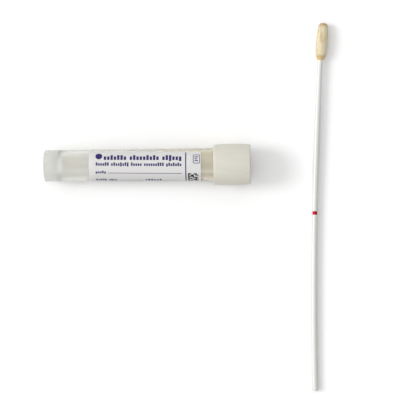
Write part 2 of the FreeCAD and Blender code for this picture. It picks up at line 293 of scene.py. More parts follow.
class LabelLook(bpy.types.PropertyGroup):
    film: FloatVectorProperty(
        name="Film", description="Colour of the label's film", default=linear("#DBDAD9"), **COLOUR)
    margin: FloatVectorProperty(
        name="Margin", description="Colour of the unprinted margin at the foot end", default=linear("#DFDEDC"),
        **COLOUR)
    gum: FloatVectorProperty(
        name="Gum", description="Colour of the film's gummed back", default=linear("#CFBE98"), **COLOUR)
    ink: FloatVectorProperty(
        name="Ink", description="Colour of the rules and bars", default=linear("#281A60"), **COLOUR)
    code_ink: FloatVectorProperty(
        name="Code ink", description="Colour of the small block of squares", default=linear("#0C0A10"), **COLOUR)
    ink_thickness: FloatProperty(
        name="Ink thickness", description="How far the print stands on the film", default=0.012 * MM,
        min=0.002 * MM, max=0.05 * MM, precision=6, **LENGTH)


class LiquidLook(bpy.types.PropertyGroup):
    medium: FloatVectorProperty(
        name="Medium", description="Tint of the liquid medium", default=linear("#EFE6CF"), **COLOUR)
    meniscus: FloatProperty(
        name="Meniscus", description="How far the liquid climbs at its edge", default=0.15 * MM, min=0,
        max=0.5 * MM, precision=5, **LENGTH)


class CapLook(bpy.types.PropertyGroup):
    plastic: FloatVectorProperty(
        name="Plastic", description="Body colour of the cap", default=linear("#DAD8CD"), **COLOUR)
    shade: FloatVectorProperty(
        name="Shade", description="Colour where the moulding is a little denser", default=linear("#D5D2C7"),
        **COLOUR)
    seal: FloatVectorProperty(
        name="Seal", description="Colour of the soft ring under the roof", default=linear("#CFCDC4"), **COLOUR)
    ribs: IntProperty(name="Ribs", description="Fine grip ribs round the cap", default=60, min=12, max=120)
    rib_depth: FloatProperty(
        name="Rib depth", description="Depth of the grooves between the ribs", default=0.07 * MM, min=0.01 * MM,
        max=0.3 * MM, precision=5, **LENGTH)


class SwabLook(bpy.types.PropertyGroup):
    shaft: FloatVectorProperty(
        name="Shaft", description="Colour of the moulded shaft", default=linear("#DDDDDA"), **COLOUR)
    mark: FloatVectorProperty(
        name="Break mark", description="Ink at the point where the shaft snaps", default=linear("#D80024"),
        **COLOUR)
    flock: FloatVectorProperty(
        name="Flock", description="Colour of the flock fibres", default=linear("#F1E7CB"), **COLOUR)
    stained: FloatVectorProperty(
        name="Flock over glue", description="Colour where the glue shows through the flock",
        default=linear("#CDB27A"), **COLOUR)
    glue: FloatVectorProperty(
        name="Glue", description="Colour of the bare glue at the tip's base", default=linear("#DDBC7C"), **COLOUR)
    fibres: IntProperty(name="Fibres", description="Flock fibres on the tip", default=9000, min=100, max=20000)
    fibre_length: FloatProperty(
        name="Fibre length", description="How far the longest fibres stand on the tip's core", default=0.55 * MM,
        min=0.1 * MM, max=1.2 * MM, precision=5, **LENGTH)


class StageLook(bpy.types.PropertyGroup):
    table: FloatVectorProperty(
        name="Table", description="Colour of the white table", default=linear("#E8E8E6"), **COLOUR)
    lamp: FloatProperty(
        name="Lamp", description="What the low lamp adds to a level surface, where 1 shows a colour as written",
        default=0.24, **SHARE)
    lamp_width: FloatProperty(
        name="Lamp width", description="Angle that the low lamp fills", default=math.radians(24), **WIDTH)
    lamp_height: FloatProperty(
        name="Lamp height", description="Angle of the low lamp above the table", default=math.radians(37),
        **HEIGHT)
    lamp_bearing: FloatProperty(
        name="Lamp bearing", description="Direction of the low lamp about the Z axis, from +X towards +Y",
        default=math.radians(174), **BEARING)
    softbox: FloatProperty(
        name="Softbox", description="What the broad softbox overhead adds to a level surface", default=0.37,
        **SHARE)
    softbox_width: FloatProperty(
        name="Softbox width", description="Angle that the softbox fills", default=math.radians(110), **WIDTH)
    softbox_height: FloatProperty(
        name="Softbox height", description="Angle of the softbox above the table", default=math.radians(60),
        **HEIGHT)
    softbox_bearing: FloatProperty(
        name="Softbox bearing", description="Direction of the softbox about the Z axis, from +X towards +Y",
        default=math.radians(156), **BEARING)
    reflector: FloatProperty(
        name="Reflector",
        description="What the reflector across the table from the softbox adds to a level surface", default=0.02,
        **SHARE)
    reflector_width: FloatProperty(
        name="Reflector width", description="Angle that the reflector fills", default=math.radians(60), **WIDTH)
    reflector_height: FloatProperty(
        name="Reflector height", description="Angle of the reflector above the table", default=math.radians(32),
        **HEIGHT)
    reflector_bearing: FloatProperty(
        name="Reflector bearing", description="Direction of the reflector about the Z axis, from +X towards +Y",
        default=math.radians(262), **BEARING)
    fill: FloatProperty(
        name="Fill light", description="What the even light of the room adds to a level surface", default=0.365,
        **SHARE)
    card: FloatProperty(
        name="White card",
        description="Brightness, in shiny surfaces only, of the white card over the table's front", default=3.8,
        min=0, max=10)
    card_width: FloatProperty(
        name="Card width", description="Angle that the white card fills", default=math.radians(30), **WIDTH)
    card_height: FloatProperty(
        name="Card height", description="Angle of the white card above the table", default=math.radians(42),
        **HEIGHT)
    camera_height: FloatProperty(
        name="Camera height", description="Height of the camera above the table", default=0.768, min=0.2, max=5,
        **LENGTH)


# ---- shaping ----


def spaced(low, high, spans):
    """Evenly spaced values between two, with both ends."""
    return [low + (high - low) * i / spans for i in range(spans + 1)]


def turned(outline, steps, closed=False, start=0.0, angle=FULL_TURN):
    """A skin spun about the Z axis from an outline of (radius, height) corners, from a start through an angle."""
    bm = bmesh.new()
    corners = [bm.verts.new((r * math.cos(start), r * math.sin(start), z)) for r, z in outline]
    pairs = list(zip(corners, corners[1:])) + ([(corners[-1], corners[0])] if closed else [])
    edges = [bm.edges.new(pair) for pair in pairs]
    bmesh.ops.spin(
        bm, geom=corners + edges, cent=(0, 0, 0), axis=(0, 0, 1), angle=angle, steps=steps,
        use_merge=angle == FULL_TURN)
    bmesh.ops.remove_doubles(bm, verts=bm.verts, dist=MERGED_WITHIN)
    open_edges = [edge for edge in bm.edges if edge.is_boundary]
    if open_edges:
        bmesh.ops.holes_fill(bm, edges=open_edges, sides=0)
    bmesh.ops.recalc_face_normals(bm, faces=bm.faces)
    return bm


def rounded(bm, corner, size, segments=3):
    """Round the circular edge that passes through a (radius, height) corner."""
    radius, height = corner

    def on_ring(vert):
        return abs(vert.co.xy.length - radius) < RING_WITHIN and abs(vert.co.z - height) < RING_WITHIN

    edges = [edge for edge in bm.edges if on_ring(edge.verts[0]) and on_ring(edge.verts[1])]
    if not edges:
        raise RuntimeError(f"no ring of radius {radius} at height {height}")
    bmesh.ops.bevel(
        bm, geom=edges, offset=size, offset_type="OFFSET", segments=segments, profile=0.5, affect="EDGES",
        clamp_overlap=True, material=-1)


def arc_through(first, middle, last, spans):
    """Evenly spaced places along the circle through three (radius, height) places, with both ends."""
    (ax, az), (bx, bz), (cx, cz) = first, middle, last
    d = 2 * (ax * (bz - cz) + bx * (cz - az) + cx * (az - bz))
    x = ((ax**2 + az**2) * (bz - cz) + (bx**2 + bz**2) * (cz - az) + (cx**2 + cz**2) * (az - bz)) / d
    z = ((ax**2 + az**2) * (cx - bx) + (bx**2 + bz**2) * (ax - cx) + (cx**2 + cz**2) * (bx - ax)) / d
    radius = math.hypot(ax - x, az - z)
    turns = spaced(math.atan2(az - z, ax - x), math.atan2(cz - z, cx - x), spans)
    return [(x + radius * math.cos(t), z + radius * math.sin(t)) for t in turns]


def thread_ridge(wall_radius, depth, first_z):
    """A helical ridge on a wall, standing out by depth, or inwards where depth is negative, that runs out
    into the wall at both of its ends."""
    side = math.copysign(1, depth)
    foot, crest = wall_radius - side * THREAD_BURIED, wall_radius + depth
    bm = bmesh.new()
    ring = [
        (foot, -THREAD_FOOT_WIDTH / 2), (crest, -THREAD_CREST_WIDTH / 2),
        (crest, THREAD_CREST_WIDTH / 2), (foot, THREAD_FOOT_WIDTH / 2),
    ]
    corners = [bm.verts.new((r, 0, first_z + z)) for r, z in ring]
    edges = [bm.edges.new((corners[i - 1], corners[i])) for i in range(4)]
    steps = round(THREAD_TURNS * THREAD_STEPS_A_TURN)
    rise = THREAD_PITCH * THREAD_TURNS / steps
    bmesh.ops.spin(
        bm, geom=corners + edges, cent=(0, 0, 0), axis=(0, 0, 1), dvec=(0, 0, rise),
        angle=FULL_TURN * THREAD_TURNS, steps=steps, use_merge=False)
    for vert in bm.verts:
        part_turn = math.atan2(vert.co.y, vert.co.x) / FULL_TURN
        turns = part_turn + round((vert.co.z - first_z) / THREAD_PITCH - part_turn)
        share = min(turns, THREAD_TURNS - turns) / THREAD_RUN_OUT
        if abs(vert.co.xy.length - crest) < RING_WITHIN and share < 1:
            # The crest comes down to the wall, and at its very end just into it
            radius = wall_radius + (depth * share if share > 0.01 else -side * THREAD_BURIED / 2)
            vert.co.xy = vert.co.xy.normalized() * radius
    bmesh.ops.holes_fill(bm, edges=[edge for edge in bm.edges if edge.is_boundary], sides=0)
    bmesh.ops.recalc_face_normals(bm, faces=bm.faces)
    return bm


def linked(name, data):
    """A new object in the scene, in place of an earlier one of the same name."""
    old = bpy.data.objects.get(name)
    if old is not None:
        bpy.data.objects.remove(old)
    new = bpy.data.objects.new(name, data)
    bpy.context.scene.collection.objects.link(new)
    return new


def as_object(bm, name):
    """A new object that holds the skin."""
    mesh = bpy.data.meshes.new(name)
    bm.to_mesh(mesh)
    bm.free()
    return linked(name, mesh)


def united(bm, other):
    """The one skin round two closed skins that overlap."""
    base, tool = as_object(bm, "union_base"), as_object(other, "union_tool")
    union = base.modifiers.new("Union", "BOOLEAN")
    union.operation, union.solver, union.object = "UNION", "EXACT", tool
    whole = base.evaluated_get(bpy.context.evaluated_depsgraph_get())
    joined = bmesh.new()
    joined.from_mesh(whole.to_mesh())
    whole.to_mesh_clear()
    for used in (base, tool):
        bpy.data.objects.remove(used)
    return joined


def gathered(parts):
    """One skin out of many small ones, which are each quick to make on their own."""
    whole = bmesh.new()
    for part in parts:
        mesh = bpy.data.meshes.new("part")
        part.to_mesh(mesh)
        part.free()
        whole.from_mesh(mesh)
        bpy.data.meshes.remove(mesh)
    return whole


def placed(bm, name, laid, body, materials, replaces=()):
    """Lay a finished skin down as a smooth-shaded piece that rides on a body."""
    bmesh.ops.transform(bm, matrix=laid, verts=bm.verts)
    for face in bm.faces:
        face.smooth = True
    for edge in bm.edges:
        if len(edge.link_faces) == 2:
            edge.smooth = edge.calc_face_angle(0.0) < SHARP
    piece = as_object(bm, name)
    for material in materials:
        piece.data.materials.append(material)
    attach(piece, body)
    if replaces:
        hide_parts(*replaces)
    return piece


# ---- materials ----


def socket_called(sockets, name):
    """The live socket with this name or identifier."""
    return next(socket for socket in sockets if socket.enabled and name in (socket.name, socket.identifier))


def add(tree, kind, values=None, output=None, **settings):
    """Add a node with its settings, set or link its sockets, and return the output that is asked for."""
    node = tree.nodes.new(kind)
    for name, value in settings.items():
        setattr(node, name, value)
    for name, value in (values or {}).items():
        socket = socket_called(node.inputs, name)
        if isinstance(value, bpy.types.NodeSocket):
            tree.links.new(value, socket)
        else:
            socket.default_value = value
    return socket_called(node.outputs, output) if output else node


def new_material(name):
    """An empty material and its node tree."""
    material = bpy.data.materials.get(name) or bpy.data.materials.new(name)
    material.use_nodes = True
    material.node_tree.nodes.clear()
    return material, material.node_tree


def solid(colour):
    """An opaque colour, as sockets hold one."""
    return (*colour, 1.0)


def surfaced(material, base, pattern, finish, shade=None, rough=None, relief=None):
    """End a material in the Principled shader, with a base colour and the rest of its finish. A pattern may
    shade the base and set the roughness, each from its first value to its second, and raise the surface by a
    relief's strength and depth."""
    tree = material.node_tree
    if shade:
        shade = add(tree, "ShaderNodeMapRange", {
            "Value": pattern, "To Min": shade[0], "To Max": shade[1]}, "Result")
        base = add(tree, "ShaderNodeMix", {
            "Factor": 1.0, "A": base, "B": shade}, "Result", data_type="RGBA", blend_type="MULTIPLY")
    finish = {"Base Color": base, **finish}
    if rough:
        finish["Roughness"] = add(tree, "ShaderNodeMapRange", {
            "Value": pattern, "To Min": rough[0], "To Max": rough[1]}, "Result")
    if relief:
        finish["Normal"] = add(tree, "ShaderNodeBump", {
            "Strength": relief[0], "Distance": relief[1], "Height": pattern}, "Normal")
    shader = add(tree, "ShaderNodeBsdfPrincipled", finish, "BSDF")
    add(tree, "ShaderNodeOutputMaterial", {"Surface": shader})
    return material


def frosted_polypropylene():
    """Polypropylene, injection moulded against a finely eroded tool. To the eye: milky and soft, seen through
    as if through a light frost, with faint flow marks along the barrel and a warm tint that grows towards the
    mouth."""
    look = bpy.context.scene.tube_look
    material, tree = new_material("polypropylene_frosted_moulded")
    place = add(tree, "ShaderNodeTexCoord", output="Object")
    # Flow marks about 1 mm wide and 12 mm long
    along = add(tree, "ShaderNodeMapping", {"Vector": place, "Scale": (80.0, 900.0, 900.0)}, "Vector")
    flow = add(tree, "ShaderNodeTexNoise", {"Vector": along, "Scale": 1.0, "Detail": 4.0}, "Fac")
    colour = add(tree, "ShaderNodeMix", {
        "Factor": flow, "A": solid(look.flow), "B": solid(look.plastic)}, "Result", data_type="RGBA")
    # The mouth's tint comes in over 50 mm of the barrel, and the skirt's leaves over 4 mm
    height = add(tree, "ShaderNodeSeparateXYZ", {"Vector": place}, "X")
    near = add(tree, "ShaderNodeMapRange", {
        "Value": height, "From Min": TUBE_FOOT.x + 0.015, "From Max": TUBE_FOOT.x + 0.065}, "Result")
    colour = add(tree, "ShaderNodeMix", {
        "Factor": near, "A": colour, "B": solid(look.mouth)}, "Result", data_type="RGBA")
    above = add(tree, "ShaderNodeMapRange", {
        "Value": height, "From Min": TUBE_FOOT.x + 0.005, "From Max": TUBE_FOOT.x + 0.009}, "Result")
    colour = add(tree, "ShaderNodeMix", {
        "Factor": above, "A": solid(look.skirt), "B": colour}, "Result", data_type="RGBA")
    rough = add(tree, "ShaderNodeMapRange", {"Value": flow, "To Min": 0.09, "To Max": 0.12}, "Result")
    # Eroded grain of 0.25 mm, several times the real one's, so that it shows
    grain = add(tree, "ShaderNodeTexNoise", {"Vector": place, "Scale": 4000.0, "Detail": 2.0}, "Fac")
    finish = {"Roughness": rough, "IOR": 1.49, "Transmission Weight": 0.7}
    return surfaced(material, colour, grain, finish, relief=(0.1, 0.00002))


def label_film():
    """Polyester label film with a satin white coat. To the eye: a cool, even white with a soft sheen, a
    slightly lighter margin at the foot end, and a faint fibrous mottle."""
    look = bpy.context.scene.label_look
    material, tree = new_material("polyester_film_satin_coated")
    place = add(tree, "ShaderNodeTexCoord", output="Object")
    # The margin is 1.9 mm wide, and its edge 0.4 mm soft
    edge = TUBE_FOOT.x + (LABEL_LOW_Z + 1.9) * MM
    centred = add(tree, "ShaderNodeMapping", {"Vector": place, "Location": (-edge, 0.0, 0.0)}, "Vector")
    along = add(tree, "ShaderNodeSeparateXYZ", {"Vector": centred}, "X")
    inside = add(tree, "ShaderNodeMapRange", {
        "Value": along, "From Min": -0.0002, "From Max": 0.0002}, "Result", interpolation_type="SMOOTHSTEP")
    banded = add(tree, "ShaderNodeMix", {
        "Factor": inside, "A": solid(look.margin), "B": solid(look.film)}, "Result", data_type="RGBA")
    # Coat mottle of about 0.8 mm
    mottle = add(tree, "ShaderNodeTexNoise", {"Vector": place, "Scale": 1200.0, "Detail": 5.0}, "Fac")
    return surfaced(
        material, banded, mottle, {"IOR": 1.5}, shade=(0.97, 1.02), rough=(0.38, 0.5), relief=(0.15, 0.00001))


def label_gum():
    """Acrylic adhesive, coated on the film's back. To the eye: dull tan behind the plastic, slightly streaked
    by the coater."""
    gum = solid(bpy.context.scene.label_look.gum)
    material, tree = new_material("acrylic_adhesive_coated")
    place = add(tree, "ShaderNodeTexCoord", output="Object")
    # Streaks about 1 mm wide and 8 mm long
    along = add(tree, "ShaderNodeMapping", {"Vector": place, "Scale": (120.0, 1000.0, 1000.0)}, "Vector")
    streaks = add(tree, "ShaderNodeTexNoise", {"Vector": along, "Scale": 1.0, "Detail": 3.0}, "Fac")
    return surfaced(material, gum, streaks, {"IOR": 1.47}, shade=(0.94, 1.03), rough=(0.5, 0.65))


def printing_ink(name, ink):
    """Ultraviolet-cured ink, printed flat. To the eye: dense and even with slightly starved specks, and a
    little glossier than the film."""
    material, tree = new_material(name)
    place = add(tree, "ShaderNodeTexCoord", output="Object")
    # Starved specks of about 0.15 mm
    specks = add(tree, "ShaderNodeTexNoise", {"Vector": place, "Scale": 6500.0, "Detail": 3.0}, "Fac")
    starved = add(tree, "ShaderNodeMapRange", {
        "Value": specks, "From Min": 0.6, "From Max": 0.8, "To Max": 0.1}, "Result")
    film = bpy.context.scene.label_look.film
    colour = add(tree, "ShaderNodeMix", {
        "Factor": starved, "A": solid(ink), "B": solid(film)}, "Result", data_type="RGBA")
    return surfaced(material, colour, specks, {"IOR": 1.5, "Specular IOR Level": 0.25}, rough=(0.28, 0.42))


def liquid_medium():
    """Buffered salt solution. To the eye: clear, faintly straw, with a wet shine and a slight cloud in it."""
    medium = solid(bpy.context.scene.liquid_look.medium)
    material, tree = new_material("buffered_medium_clear")
    place = add(tree, "ShaderNodeTexCoord", output="Object")
    # Cloud of about 5 mm
    cloud = add(tree, "ShaderNodeTexNoise", {"Vector": place, "Scale": 200.0, "Detail": 3.0}, "Fac")
    finish = {"Roughness": 0.06, "IOR": 1.34, "Transmission Weight": 0.85}
    return surfaced(material, medium, cloud, finish, shade=(0.94, 1.0))


def satin_polypropylene():
    """Polypropylene filled with a little white, injection moulded. To the eye: warm off-white, satin, slightly
    waxy at thin edges, with faint clouds in the colour."""
    look = bpy.context.scene.cap_look
    material, tree = new_material("polypropylene_satin_moulded")
    place = add(tree, "ShaderNodeTexCoord", output="Object")
    # Clouds of about 4 mm
    cloud = add(tree, "ShaderNodeTexNoise", {"Vector": place, "Scale": 250.0, "Detail": 4.0}, "Fac")
    colour = add(tree, "ShaderNodeMix", {
        "Factor": cloud, "A": solid(look.shade), "B": solid(look.plastic)}, "Result", data_type="RGBA")
    # Tool grain of 0.2 mm, several times the real one's, so that it shows
    grain = add(tree, "ShaderNodeTexNoise", {"Vector": place, "Scale": 5000.0, "Detail": 3.0}, "Fac")
    finish = {
        "IOR": 1.49, "Subsurface Weight": 0.35, "Subsurface Radius": (1.0, 0.9, 0.75),
        "Subsurface Scale": 0.0012,
    }
    return surfaced(material, colour, grain, finish, rough=(0.42, 0.55), relief=(0.3, 0.00002))


def sealing_elastomer():
    """Thermoplastic elastomer, moulded. To the eye: matt, slightly greasy off-white with a fine grain."""
    seal = solid(bpy.context.scene.cap_look.seal)
    material, tree = new_material("thermoplastic_elastomer_moulded")
    place = add(tree, "ShaderNodeTexCoord", output="Object")
    # Grain of 0.3 mm
    grain = add(tree, "ShaderNodeTexNoise", {"Vector": place, "Scale": 3300.0, "Detail": 4.0}, "Fac")
    return surfaced(
        material, seal, grain, {"IOR": 1.5}, shade=(0.92, 1.03), rough=(0.6, 0.8), relief=(0.4, 0.00003))


def gloss_polystyrene():
    """High-impact polystyrene, injection moulded and drawn. To the eye: a clean white rod with a soft gloss and
    faint draw lines along it."""
    shaft = solid(bpy.context.scene.swab_look.shaft)
    material, tree = new_material("polystyrene_gloss_moulded")
    place = add(tree, "ShaderNodeTexCoord", output="Object")
    # Draw lines about 0.3 mm wide and 15 mm long
    along = add(tree, "ShaderNodeMapping", {"Vector": place, "Scale": (3300.0, 65.0, 3300.0)}, "Vector")
    lines = add(tree, "ShaderNodeTexNoise", {"Vector": along, "Scale": 1.0, "Detail": 3.0}, "Fac")
    return surfaced(
        material, shaft, lines, {"IOR": 1.59}, shade=(0.96, 1.02), rough=(0.2, 0.34), relief=(0.2, 0.00001))


def pad_ink():
    """Pad-printing ink rolled into the notch. To the eye: a bright, glossy red ring, with painted shade that
    makes it much darker down the side away from the lamp."""
    mark = solid(bpy.context.scene.swab_look.mark)
    material, tree = new_material("pad_printing_ink_red")
    place = add(tree, "ShaderNodeTexCoord", output="Object")
    # Painted shade darkens the ring on the side away from the lamp, from the ring's middle, within 0.3 mm
    middle = SWAB_PLACE.x + BOW_RADIUS * (1 - math.cos((BREAK_POINT - BOW_STATION) / BOW_RADIUS)) * MM
    across = add(tree, "ShaderNodeSeparateXYZ", {"Vector": place}, "X")
    painted_shade_side = add(tree, "ShaderNodeMapRange", {
        "Value": across, "From Min": middle - 0.0001, "From Max": middle + 0.0002, "To Min": 1.0,
        "To Max": 0.42}, "Result")
    colour = add(tree, "ShaderNodeMix", {
        "Factor": 1.0, "A": mark, "B": painted_shade_side}, "Result", data_type="RGBA", blend_type="MULTIPLY")
    # Unevenness of 0.4 mm
    uneven = add(tree, "ShaderNodeTexNoise", {"Vector": place, "Scale": 2500.0, "Detail": 3.0}, "Fac")
    finish = {"IOR": 1.5, "Specular IOR Level": 0.15}
    return surfaced(material, colour, uneven, finish, shade=(0.85, 1.05), rough=(0.25, 0.4))


def nylon_flock():
    """Nylon fibre, flocked on glue and dried. To the eye: dry, soft and creamy, with a bloom of light at its
    edges, and ochre patches where the glue shows between the fibres."""
    look = bpy.context.scene.swab_look
    material, tree = new_material("nylon_flock_cream")
    place = add(tree, "ShaderNodeTexCoord", output="Object")
    # Patches about 2 mm wide and 7 mm long
    along = add(tree, "ShaderNodeMapping", {"Vector": place, "Scale": (500.0, 140.0, 500.0)}, "Vector")
    patch = add(tree, "ShaderNodeTexNoise", {"Vector": along, "Scale": 1.0, "Detail": 3.0}, "Fac")
    stained = add(tree, "ShaderNodeMapRange", {
        "Value": patch, "From Min": 0.48, "From Max": 0.75, "To Max": 0.6}, "Result",
        interpolation_type="SMOOTHSTEP")
    # The pile thins over the first 3 mm of the tip, at its nose, and over the last 2.4 mm, at its base
    station = add(tree, "ShaderNodeSeparateXYZ", {"Vector": place}, "Y")
    nose = SWAB_PLACE.y + TIP_WIDEST * MM
    base = nose - TIP_LENGTH * MM
    for bare, full in ((nose, nose - 0.003), (base, base + 0.0024)):
        thin = add(tree, "ShaderNodeMapRange", {
            "Value": station, "From Min": full, "From Max": bare}, "Result", interpolation_type="SMOOTHSTEP")
        stained = add(tree, "ShaderNodeMath", {
            "Value": stained, "Value_001": thin}, "Value", operation="MAXIMUM")
    colour = add(tree, "ShaderNodeMix", {
        "Factor": stained, "A": solid(look.flock), "B": solid(look.stained)}, "Result", data_type="RGBA")
    # Fibre bundles about 0.35 mm wide and 1 mm long
    lie = add(tree, "ShaderNodeMapping", {"Vector": place, "Scale": (2800.0, 1000.0, 2800.0)}, "Vector")
    bundles = add(tree, "ShaderNodeTexNoise", {"Vector": lie, "Scale": 1.0, "Detail": 5.0}, "Fac")
    finish = {"Roughness": 0.9, "IOR": 1.53, "Sheen Weight": 0.3, "Sheen Roughness": 0.5}
    return surfaced(material, colour, bundles, finish, shade=(0.88, 1.08), relief=(0.7, 0.0001))


def cured_glue():
    """Solvent glue, dipped and cured. To the eye: amber, slightly see-through and lumpy, with a dull shine."""
    glue = solid(bpy.context.scene.swab_look.glue)
    material, tree = new_material("flocking_glue_cured")
    place = add(tree, "ShaderNodeTexCoord", output="Object")
    # Lumps of about 0.6 mm
    lumps = add(tree, "ShaderNodeTexNoise", {"Vector": place, "Scale": 1600.0, "Detail": 4.0}, "Fac")
    finish = {
        "IOR": 1.5, "Subsurface Weight": 0.3, "Subsurface Radius": (1.0, 0.6, 0.25), "Subsurface Scale": 0.0006,
    }
    return surfaced(
        material, glue, lumps, finish, shade=(0.75, 1.15), rough=(0.3, 0.5), relief=(0.6, 0.00008))


def background_rays(tree):
    """The Light Path node, and a factor that is 1 for the rays that show the background: straight to the
    camera, by gloss or through clear pieces."""
    path = add(tree, "ShaderNodeLightPath")
    seen = path.outputs["Is Camera Ray"]
    for ray in ("Is Glossy Ray", "Is Transmission Ray"):
        seen = add(tree, "ShaderNodeMath", {
            "Value": seen, "Value_001": path.outputs[ray]}, "Value", operation="MAXIMUM")
    return path, seen


def table_sweep():
    """Matt white laminate. To the eye: an even white that fades into the room and keeps only soft shadows."""
    table = solid(bpy.context.scene.stage_look.table)
    material, tree = new_material("laminate_matt_white")
    _, seen = background_rays(tree)
    colour = add(tree, "ShaderNodeMix", {
        "Factor": seen, "A": table, "B": solid((BACKGROUND,) * 3)}, "Result", data_type="RGBA")
    surface = add(tree, "ShaderNodeBsdfDiffuse", {"Color": colour}, "BSDF")
    add(tree, "ShaderNodeOutputMaterial", {"Surface": surface})
    return material


# ---- pieces ----


def tube_radius(height):
    """The barrel's outside radius at a height above the foot."""
    return FOOT_RADIUS + BARREL_DRAFT * height


def bore_outline(inset):
    """The corners of the bore from its mouth to its cone's tip, moved into the bore by inset."""
    return [
        (BORE_MOUTH_RADIUS - inset, TUBE_LENGTH),
        (BORE_FOOT_RADIUS - inset, BORE_FOOT_Z + inset),
        (CONE_TIP_RADIUS - inset, CONE_TIP_Z + inset),
        (0, CONE_TIP_Z + inset),
    ]


def cone_outside():
    """The two corners of the cone's underside: at its nose, and where it meets the skirt."""
    run, rise = BORE_FOOT_RADIUS - CONE_TIP_RADIUS, BORE_FOOT_Z - CONE_TIP_Z
    slant = math.hypot(run, rise)
    nose_z = CONE_TIP_Z - CONE_WALL
    beside = (CONE_TIP_RADIUS + CONE_WALL * rise / slant, CONE_TIP_Z - CONE_WALL * run / slant)
    nose = (beside[0] - (beside[1] - nose_z) * run / rise, nose_z)
    return nose, (SKIRT_BORE_RADIUS, beside[1] + (SKIRT_BORE_RADIUS - beside[0]) * rise / run)


class SWABTUBE_OT_tube(bpy.types.Operator):
    """Build the frosted tube: skirted foot, conical bottom, tapering barrel and threaded neck"""

    bl_idname = "swab_tube.tube"
    bl_label = "Tube"

    def execute(self, context):
        nose, skirt_root = cone_outside()
        neck_foot = (NECK_RADIUS, SHOULDER_Z + SHOULDER_STEP)
        outline = [
            (0, nose[1]), nose, skirt_root, (SKIRT_BORE_RADIUS, 0), (FOOT_RADIUS, 0),
            (SHOULDER_RADIUS, SHOULDER_Z), neck_foot, (NECK_RADIUS, TUBE_LENGTH),
        ] + bore_outline(0)
        bm = turned(outline, context.scene.tube_look.facets)
        rounded(bm, (FOOT_RADIUS, 0), FOOT_ROUND, segments=5)
        rounded(bm, (NECK_RADIUS, TUBE_LENGTH), MOUTH_ROUND)
        rounded(bm, (BORE_MOUTH_RADIUS, TUBE_LENGTH), MOUTH_ROUND)
        for corner in ((SKIRT_BORE_RADIUS, 0), (SHOULDER_RADIUS, SHOULDER_Z), neck_foot):
            rounded(bm, corner, SOFT_ROUND)
        for corner in (nose, skirt_root, (BORE_FOOT_RADIUS, BORE_FOOT_Z), (CONE_TIP_RADIUS, CONE_TIP_Z)):
            rounded(bm, corner, FOOT_ROUND, segments=4)
        bm = united(bm, thread_ridge(NECK_RADIUS, THREAD_DEPTH, THREAD_START_Z))
        placed(bm, "specimen_tube", TUBE_LAID, "tube_and_swab", [frosted_polypropylene()], ["tube"])
        return {"FINISHED"}


def askew(place, skew):
    """A place round the tube, turned about its axis by a skew from the label's middle."""
    turn = math.radians(skew * (place.z - (LABEL_LOW_Z + LABEL_HIGH_Z) / 2))
    return Matrix.Rotation(turn, 3, "Z") @ place


class SWABTUBE_OT_label(bpy.types.Operator):
    """Wrap the film label round the barrel"""

    bl_idname = "swab_tube.label"
    bl_label = "Label"

    def execute(self, context):
        # Several spans along the barrel, so that the film still lies on it once it is askew
        heights = spaced(LABEL_LOW_Z, LABEL_HIGH_Z, LABEL_SPANS)
        outline = [(tube_radius(height) + LABEL_THICKNESS, height) for height in heights]
        outline += [(tube_radius(height) + GLUE_LINE, height) for height in reversed(heights)]
        bm = turned(
            outline, LABEL_FACETS, closed=True, start=math.radians(LABEL_START), angle=math.radians(LABEL_WRAP))
        # The side that faces the barrel is gummed
        for face in bm.faces:
            middle = face.calc_center_median()
            face.material_index = int(face.normal.xy.dot(middle.xy.normalized()) < -0.5)
        for vert in bm.verts:
            vert.co = askew(vert.co, LABEL_EDGE_SKEW)
        placed(bm, "film_label", TUBE_LAID, "tube_and_swab", [label_film(), label_gum()], ["label"])
        return {"FINISHED"}


def ink_block(bm, low, high, start, end, corner=0.0):
    """Draw a flat block between two heights and two angles in degrees, with heights along X and the arc of the
    film along Y, and return its faces."""
    middle = Matrix.Translation(((low + high) / 2, (start + end) / 2 * FILM_DEGREE, 0))
    size = Matrix.Diagonal((high - low, (end - start) * FILM_DEGREE, 1, 1))
    verts = bmesh.ops.create_grid(bm, x_segments=1, y_segments=1, size=0.5, matrix=middle @ size)["verts"]
    if corner:
        verts = bmesh.ops.bevel(
            bm, geom=verts, offset=corner, offset_type="OFFSET", segments=4, profile=0.5, affect="VERTICES",
            material=-1)["verts"]
    return list({face for vert in verts for face in vert.link_faces})


def ink_words(bm, first, last, middle, tall, counts, chance):
    """Fill a row between two heights with words of small plain blocks, with counts of blocks in each."""
    step = (last - first) / (sum(counts) + WORD_GAP * (len(counts) - 1) - (1 - BLOCK_FILL))
    low = first
    for count in counts:
        for _ in range(count):
            up = tall * (BLOCK_UP if chance.random() < BLOCK_UP_CHANCE else BLOCK_UP_SHORT)
            down = tall * (BLOCK_DOWN if chance.random() < BLOCK_DOWN_CHANCE else BLOCK_DOWN_LONG)
            ink_block(bm, low, low + step * BLOCK_FILL, middle - up, middle + down)
            low += step
        low += step * WORD_GAP


def laid_on_film(bm, thickness):
    """Cut flat ink along the film's length so that it can bend, lay it round the film and give it a thickness."""
    for angle in range(int(LABEL_START), int(LABEL_START + LABEL_WRAP), INK_FACET):
        bmesh.ops.bisect_plane(
            bm, geom=bm.verts[:] + bm.edges[:] + bm.faces[:], plane_co=(0, angle * FILM_DEGREE, 0),
            plane_no=(0, 1, 0))
    for vert in bm.verts:
        height, angle = vert.co.x, math.radians(vert.co.y / FILM_DEGREE)
        radius = tube_radius(height) + LABEL_THICKNESS + INK_GAP
        vert.co = askew(Vector((radius * math.cos(angle), radius * math.sin(angle), height)), LABEL_PRINT_SKEW)
    bmesh.ops.reverse_faces(bm, faces=bm.faces)
    bmesh.ops.solidify(bm, geom=bm.faces, thickness=-thickness)
    bmesh.ops.recalc_face_normals(bm, faces=bm.faces)
    return bm


